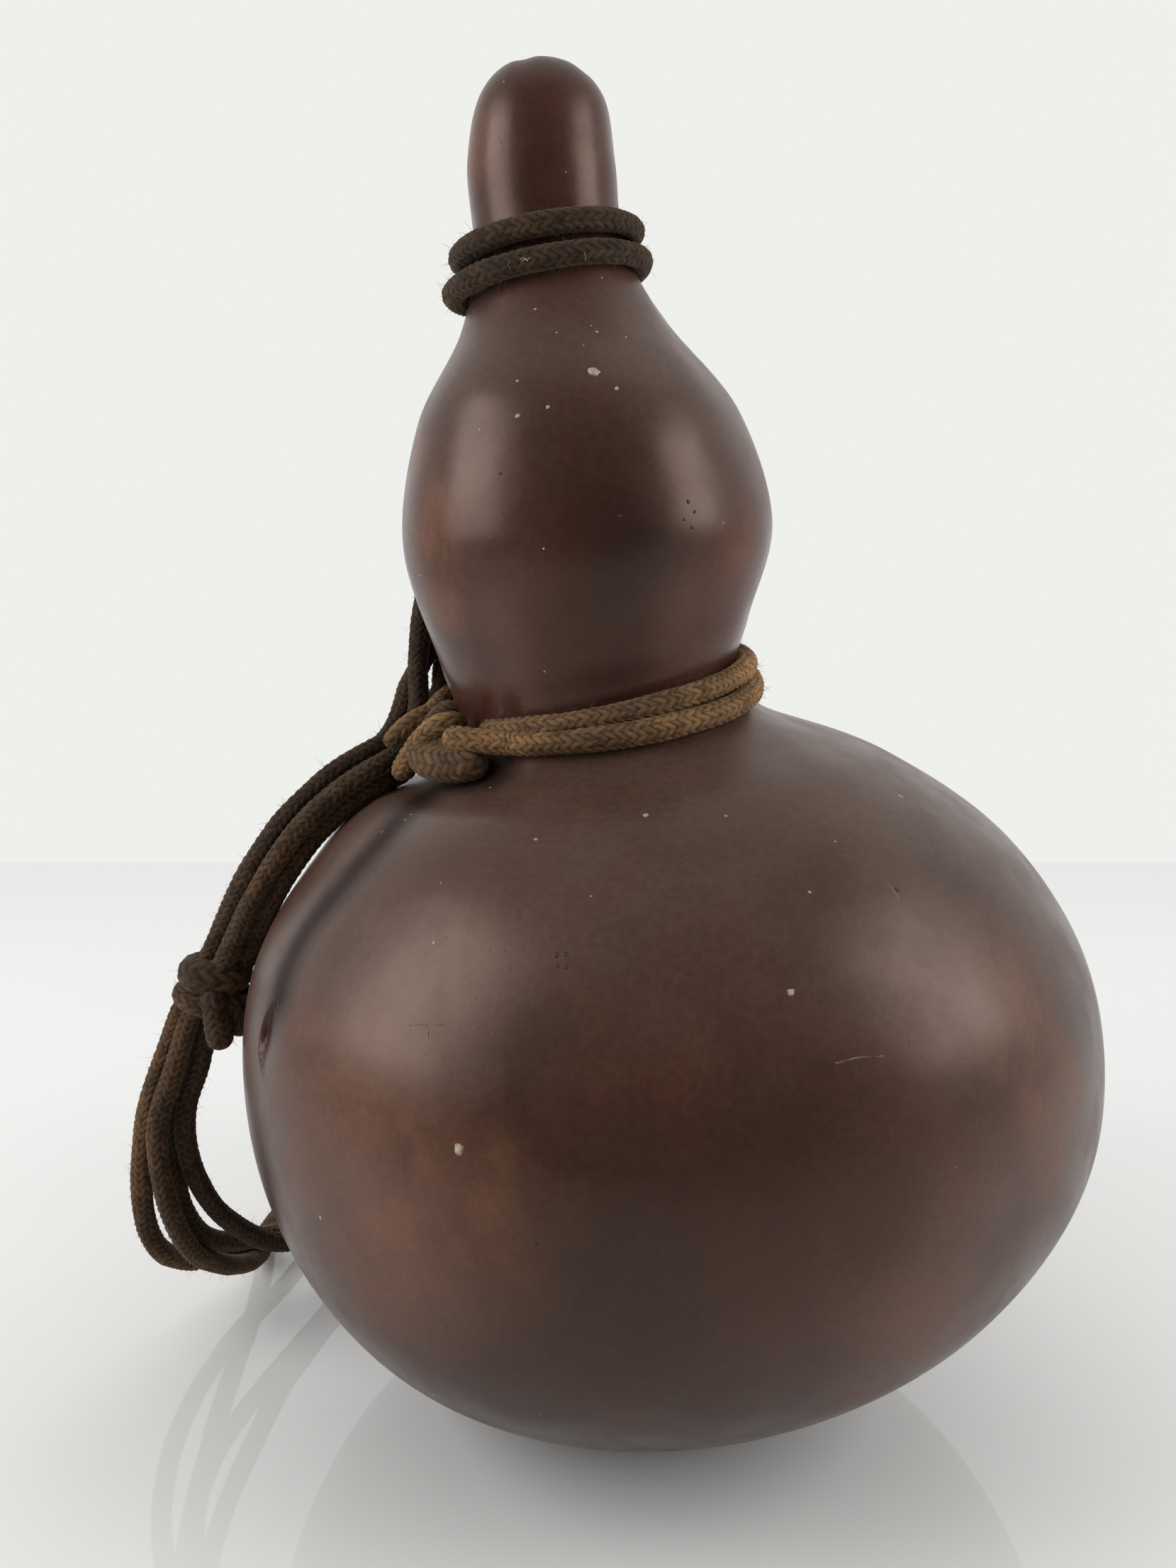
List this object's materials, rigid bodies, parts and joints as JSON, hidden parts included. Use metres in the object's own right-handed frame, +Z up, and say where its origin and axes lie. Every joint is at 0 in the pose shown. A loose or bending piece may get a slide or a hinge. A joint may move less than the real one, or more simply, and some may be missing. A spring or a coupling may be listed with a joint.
{
  "type": "dried bottle gourd",
  "caption": "Dried hourglass-shaped bottle gourd standing on a flat foot, with a braided cord tied round its neck and waist and hanging in loops.",
  "frame": {"origin": "centre of the flat foot that the gourd stands on", "axes": "+Z up the gourd to its crown, -Y to the front of the picture, +X to the picture's right; the cord hangs at -X"},
  "size_m": [0.2306, 0.2185, 0.305],
  "materials": {
    "skin": "hard dried rind, mottled red-brown, satin with a soft waxed sheen",
    "dark_cord": "round braided cord, dark brown, matte with a little fuzz",
    "tan_cord": "the same braided cord where it is worn to a golden tan, matte"
  },
  "bodies": {
    "root": {"gourd": "skin", "neck_wrap": "dark_cord", "strand_1": "dark_cord", "strand_2": "dark_cord", "strand_3": "dark_cord", "strand_4": "dark_cord", "waist_wrap": "tan_cord", "lower_knot": "dark_cord", "tail_loop_outer": "dark_cord", "tail_loop_inner": "dark_cord"}
  },
  "joints": []
}
